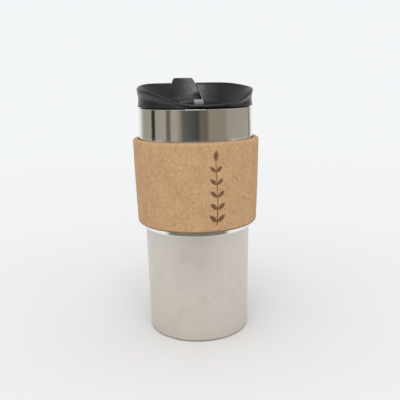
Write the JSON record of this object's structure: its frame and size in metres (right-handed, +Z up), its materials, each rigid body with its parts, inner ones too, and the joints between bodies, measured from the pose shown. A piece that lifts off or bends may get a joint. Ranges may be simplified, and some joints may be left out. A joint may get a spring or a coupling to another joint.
{
  "type": "travel mug with cork grip and flip lid",
  "caption": "Rigid double-walled steel travel mug with a cork grip band and a black screw lid opened by a flip lever.",
  "frame": {"origin": "on the mug's axis, at the table it stands on", "axes": "+Z up along the mug's axis; +Y towards the lid's high drinking side, where the lever's tab stands; +X to the right, seen from the lid's low side"},
  "size_m": [0.0872, 0.0872, 0.1777],
  "materials": {
    "satin_steel": "satin stainless steel, finely brushed, with faint smudges",
    "polished_steel": "mirror-polished stainless steel",
    "cork": "fine pressed agglomerate cork, matt",
    "black_plastic": "black satin polypropylene",
    "black_silicone": "matt black silicone rubber"
  },
  "bodies": {
    "mug": {"base_plate": "satin_steel", "lower_shell": "satin_steel", "collar_shell": "polished_steel", "inner_liner": "satin_steel"},
    "sleeve": {"cork_sleeve": "cork"},
    "seal_ring": {"lid_seal": "black_silicone"},
    "lid": {"lid_shell": "black_plastic", "lid_plug": "black_plastic", "hinge_pin": "polished_steel"},
    "lever": {"flip_lever": "black_plastic", "spout_stopper": "black_silicone"}
  },
  "joints": [
    {"name": "sleeve_slide", "type": "slide", "parent": "mug", "child": "sleeve", "axis": [0, 0, 1], "range_m": [-0.0785, 0]},
    {"name": "lid_lift", "type": "slide", "parent": "mug", "child": "seal_ring", "axis": [0, 0, 1], "range_m": [0, 0.0241]},
    {"name": "lid_turn", "type": "hinge", "parent": "seal_ring", "child": "lid", "pos_m": [0, 0, 0.1586], "axis": [0, 0, 1], "range_deg": [0, 1080]},
    {"name": "lever_flip", "type": "hinge", "parent": "lid", "child": "lever", "pos_m": [0, -0.0095, 0.1604], "axis": [1, 0, 0], "range_deg": [0, 165]}
  ],
  "couplings": [
    {"joint": "lid_lift", "follows": "lid_turn", "m_per_rad": 0.0012732}
  ]
}
